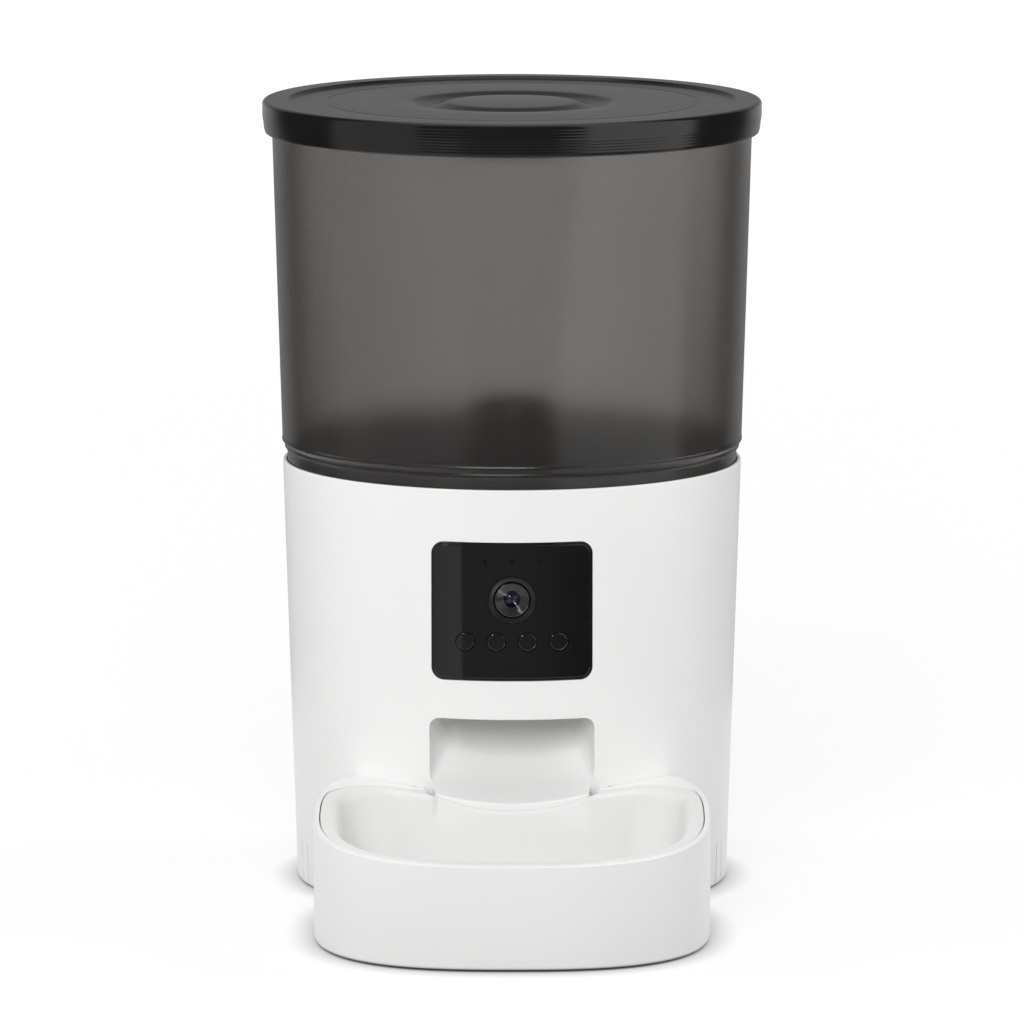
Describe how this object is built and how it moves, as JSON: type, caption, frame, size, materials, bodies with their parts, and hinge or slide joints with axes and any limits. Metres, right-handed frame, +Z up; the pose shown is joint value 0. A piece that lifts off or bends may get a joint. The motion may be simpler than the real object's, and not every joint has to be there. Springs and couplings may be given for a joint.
{
  "type": "pet feeder with camera",
  "caption": "Round automatic pet feeder: lidded food hopper over a motor-driven rotor, camera panel on the front, and a chute that drops dry food into a lift-out bowl.",
  "frame": {"origin": "on the floor, under the middle of the whole feeder's width and depth", "axes": "+Z up; -Y to the front, where the bowl is; +X to the viewer's right when the feeder is seen from the front"},
  "size_m": [0.23, 0.3444, 0.3628],
  "materials": {
    "black_plastic": "near-black, satin",
    "gloss_black_plastic": "black, polished",
    "smoke_plastic": "smoke grey, frosted",
    "white_plastic": "white, soft gloss",
    "white_inner_plastic": "white, satin",
    "grey_plastic": "dark grey, satin",
    "gear_plastic": "natural nylon",
    "green_board": "green circuit board",
    "grey_rubber": "dark grey, soft",
    "steel": "plain",
    "brass": "plain",
    "lens_glass": "dark blue, coated"
  },
  "bodies": {
    "feeder": {"body_shell": "white_plastic", "inner_frame": "white_inner_plastic", "food_funnel": "grey_plastic", "outlet_guard": "grey_plastic", "rotor_well": "grey_plastic", "food_chute": "white_plastic", "gear_case": "grey_plastic", "gear_case_cover": "grey_plastic", "gear_motor": "steel", "control_panel": "gloss_black_plastic", "camera_ring": "black_plastic", "lens_barrel": "black_plastic", "camera_lens": "lens_glass", "camera_module": "grey_plastic", "front_board": "green_board", "base_plate": "white_inner_plastic", "battery_box": "grey_plastic", "battery_contact_front": "brass", "battery_contact_back": "brass", "main_board": "green_board", "speaker": "grey_plastic", "power_socket": "black_plastic", "foot_1": "grey_rubber", "foot_2": "grey_rubber", "foot_3": "grey_rubber", "foot_4": "grey_rubber", "base_screw_1": "steel", "base_screw_2": "steel", "base_screw_3": "steel", "base_screw_4": "steel"},
    "hopper": {"food_hopper": "smoke_plastic"},
    "lid": {"lid_shell": "black_plastic", "lid_seal": "grey_rubber", "desiccant_box": "white_inner_plastic"},
    "desiccant_cover": {"desiccant_cover": "white_inner_plastic"},
    "rotor": {"rotor": "grey_rubber", "agitator": "grey_plastic", "drive_shaft": "steel", "drive_gear": "gear_plastic"},
    "motor_pinion": {"motor_pinion": "brass"},
    "button_1": {"button_1": "gloss_black_plastic"},
    "button_2": {"button_2": "gloss_black_plastic"},
    "button_3": {"button_3": "gloss_black_plastic"},
    "button_4": {"button_4": "gloss_black_plastic"},
    "battery_door": {"battery_door": "white_inner_plastic"},
    "tray": {"bowl_tray": "white_plastic"},
    "bowl": {"food_bowl": "white_plastic"}
  },
  "joints": [
    {"name": "hopper_lift", "type": "slide", "parent": "feeder", "child": "hopper", "axis": [0, 0, 1], "range_m": [0, 0.06]},
    {"name": "lid_lift", "type": "slide", "parent": "hopper", "child": "lid", "axis": [0, 0, 1], "range_m": [0, 0.06]},
    {"name": "desiccant_cover_pull", "type": "slide", "parent": "lid", "child": "desiccant_cover", "axis": [0, 0, -1], "range_m": [0, 0.012]},
    {"name": "rotor_spin", "type": "hinge", "parent": "feeder", "child": "rotor", "pos_m": [0, 0.05715, 0.1525], "axis": [0, 0, 1], "continuous": true},
    {"name": "pinion_spin", "type": "hinge", "parent": "feeder", "child": "motor_pinion", "pos_m": [0, 0.08715, 0.14], "axis": [0, 0, 1], "continuous": true},
    {"name": "button_1_press", "type": "slide", "parent": "feeder", "child": "button_1", "axis": [0, 1, 0], "range_m": [0, 0.0007], "stiffness_N_per_m": 400},
    {"name": "button_2_press", "type": "slide", "parent": "feeder", "child": "button_2", "axis": [0, 1, 0], "range_m": [0, 0.0007], "stiffness_N_per_m": 400},
    {"name": "button_3_press", "type": "slide", "parent": "feeder", "child": "button_3", "axis": [0, 1, 0], "range_m": [0, 0.0007], "stiffness_N_per_m": 400},
    {"name": "button_4_press", "type": "slide", "parent": "feeder", "child": "button_4", "axis": [0, 1, 0], "range_m": [0, 0.0007], "stiffness_N_per_m": 400},
    {"name": "battery_door_pull", "type": "slide", "parent": "feeder", "child": "battery_door", "axis": [0, 0, -1], "range_m": [0, 0.01]},
    {"name": "tray_pull", "type": "slide", "parent": "feeder", "child": "tray", "axis": [0, -1, 0], "range_m": [0, 0.05]},
    {"name": "bowl_lift", "type": "slide", "parent": "tray", "child": "bowl", "axis": [0, 0, 1], "range_m": [0, 0.07]}
  ],
  "couplings": [
    {"joint": "pinion_spin", "follows": "rotor_spin", "ratio": -3}
  ]
}
